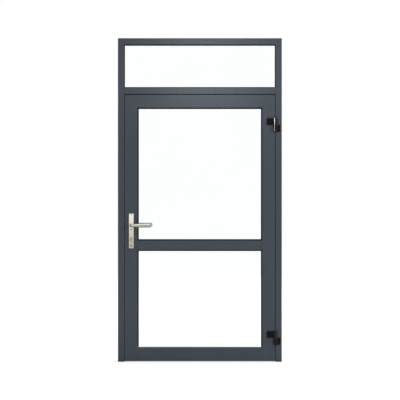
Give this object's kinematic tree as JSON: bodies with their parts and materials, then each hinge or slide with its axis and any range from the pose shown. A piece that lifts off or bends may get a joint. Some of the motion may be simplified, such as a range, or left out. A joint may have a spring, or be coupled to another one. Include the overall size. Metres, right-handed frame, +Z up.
{
  "type": "glass door",
  "caption": "Hinged glazed door in a dark grey aluminium frame with a fixed fanlight, lever handle on a long backplate, mortise lock and surface hinges.",
  "frame": {"origin": "middle of the frame's width and depth, at floor level", "axes": "+X to the right seen from the hinge side, +Y from the hinge side to the far side, +Z up"},
  "size_m": [1.15, 0.177, 2.27],
  "materials": {
    "grey_coating": "satin",
    "clear_glass": "polished",
    "seal_rubber": "matte",
    "satin_handle": "satin",
    "hinge_black": "satin",
    "bare_steel": "satin",
    "nickel_brass": "satin",
    "raw_aluminium": "satin",
    "black_nylon": "matte"
  },
  "bodies": {
    "frame": {"frame_jamb_left": "grey_coating", "frame_jamb_right": "grey_coating", "frame_head": "grey_coating", "frame_transom": "grey_coating", "frame_corner_cleats": "raw_aluminium", "transom_connectors": "raw_aluminium", "door_stop_left": "grey_coating", "door_stop_right": "grey_coating", "stop_seals": "seal_rubber", "fanlight_glass": "clear_glass", "fanlight_gasket_front": "seal_rubber", "fanlight_gasket_rear": "seal_rubber", "fanlight_beads_level": "grey_coating", "fanlight_beads_upright": "grey_coating", "fanlight_setting_blocks": "black_nylon", "strike_plate": "bare_steel", "strike_screws": "bare_steel", "hinge_top_frame_wing": "hinge_black", "hinge_bottom_frame_wing": "hinge_black", "hinge_pins": "bare_steel", "hinge_frame_screws": "hinge_black"},
    "leaf": {"stile_lock": "grey_coating", "stile_hinge": "grey_coating", "rail_top": "grey_coating", "rail_middle": "grey_coating", "rail_bottom": "grey_coating", "leaf_corner_cleats": "raw_aluminium", "rail_connectors": "raw_aluminium", "bottom_seal": "seal_rubber", "upper_glass": "clear_glass", "upper_gasket_front": "seal_rubber", "upper_gasket_rear": "seal_rubber", "upper_beads_level": "grey_coating", "upper_beads_upright": "grey_coating", "lower_glass": "clear_glass", "lower_gasket_front": "seal_rubber", "lower_gasket_rear": "seal_rubber", "lower_beads_level": "grey_coating", "lower_beads_upright": "grey_coating", "leaf_setting_blocks": "black_nylon", "hinge_top_leaf_wing": "hinge_black", "hinge_bottom_leaf_wing": "hinge_black", "hinge_bushes": "black_nylon", "hinge_leaf_screws": "hinge_black", "lock_case": "bare_steel", "lock_forend": "bare_steel", "lock_screws": "bare_steel", "cylinder_body": "nickel_brass", "backplate_front": "satin_handle", "backplate_rear": "satin_handle", "backplate_screws": "bare_steel"},
    "lever": {"lever_front": "satin_handle", "lever_rear": "satin_handle", "spindle": "bare_steel", "lock_follower": "bare_steel"},
    "latch": {"latch_bolt": "bare_steel"},
    "dead_bolt": {"dead_bolt": "bare_steel"},
    "cylinder_plug": {"cylinder_plugs": "nickel_brass"}
  },
  "joints": [
    {"name": "door_swing", "type": "hinge", "parent": "frame", "child": "leaf", "pos_m": [0.5295, -0.0425, 1], "axis": [0, 0, 1], "range_deg": [0, 170]},
    {"name": "lever_turn", "type": "hinge", "parent": "leaf", "child": "lever", "pos_m": [-0.48, 0, 0.958], "axis": [0, 1, 0], "range_deg": [0, 40], "stiffness_Nm_per_rad": 1.6, "springref_deg": -28.65},
    {"name": "latch_slide", "type": "slide", "parent": "leaf", "child": "latch", "axis": [1, 0, 0], "range_m": [0, 0.0121]},
    {"name": "key_turn", "type": "hinge", "parent": "leaf", "child": "cylinder_plug", "pos_m": [-0.48, 0, 0.866], "axis": [0, 1, 0], "range_deg": [0, 360]},
    {"name": "dead_bolt_slide", "type": "slide", "parent": "leaf", "child": "dead_bolt", "axis": [-1, 0, 0], "range_m": [0, 0.0201]}
  ],
  "couplings": [
    {"joint": "latch_slide", "follows": "lever_turn", "m_per_rad": 0.01718},
    {"joint": "dead_bolt_slide", "follows": "key_turn", "m_per_rad": 0.00318}
  ]
}
